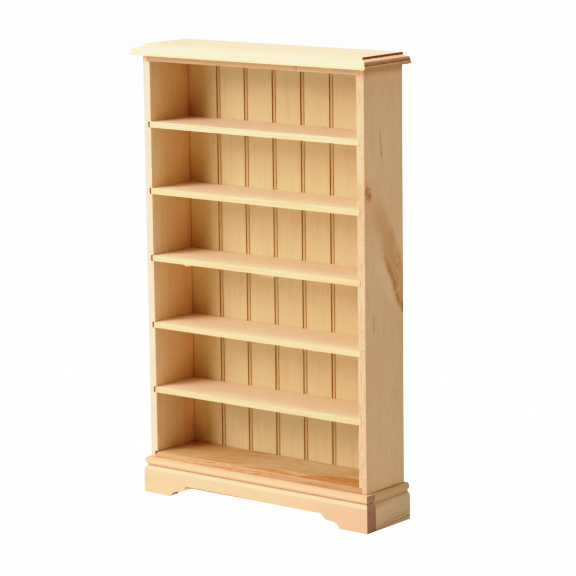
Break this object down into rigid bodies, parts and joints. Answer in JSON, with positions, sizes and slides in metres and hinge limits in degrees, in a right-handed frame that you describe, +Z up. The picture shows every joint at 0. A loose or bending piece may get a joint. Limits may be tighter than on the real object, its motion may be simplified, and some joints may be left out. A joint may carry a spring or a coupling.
{
  "type": "miniature bookcase",
  "caption": "Open dolls house bookcase in bare wood with fixed shelves, beaded-board back, moulded top and a moulded plinth with bracket feet.",
  "frame": {"origin": "on the floor plane under the plinth, in the middle of the overall width and in the middle of the overall depth", "axes": "+Z up; +Y from the open front to the back panel; +X to the right of somebody facing the open front"},
  "size_m": [0.1142, 0.0296, 0.18],
  "materials": {
    "top_wood": "bare sanded softwood, straight grain along the width, end grain darkened by the moulding cutter",
    "shelf_wood": "bare sanded softwood, grain along the width",
    "bottom_shelf_wood": "bare sanded softwood with an orange heartwood figure, grain along the width",
    "side_wood": "bare sanded softwood, grain upright, a small knot and a darker heart streak",
    "panel_wood": "bare pale sheet, grain upright, scribed grooves",
    "plinth_wood": "bare sanded softwood, grain along each board, darker end grain"
  },
  "bodies": {
    "root": {"top_board": "top_wood", "sub_top": "shelf_wood", "side_left": "side_wood", "side_right": "side_wood", "shelf_1": "shelf_wood", "shelf_2": "shelf_wood", "shelf_3": "shelf_wood", "shelf_4": "shelf_wood", "shelf_5": "shelf_wood", "bottom_shelf": "bottom_shelf_wood", "back_panel": "panel_wood", "plinth_front": "plinth_wood", "plinth_left": "plinth_wood", "plinth_right": "plinth_wood"}
  },
  "joints": []
}
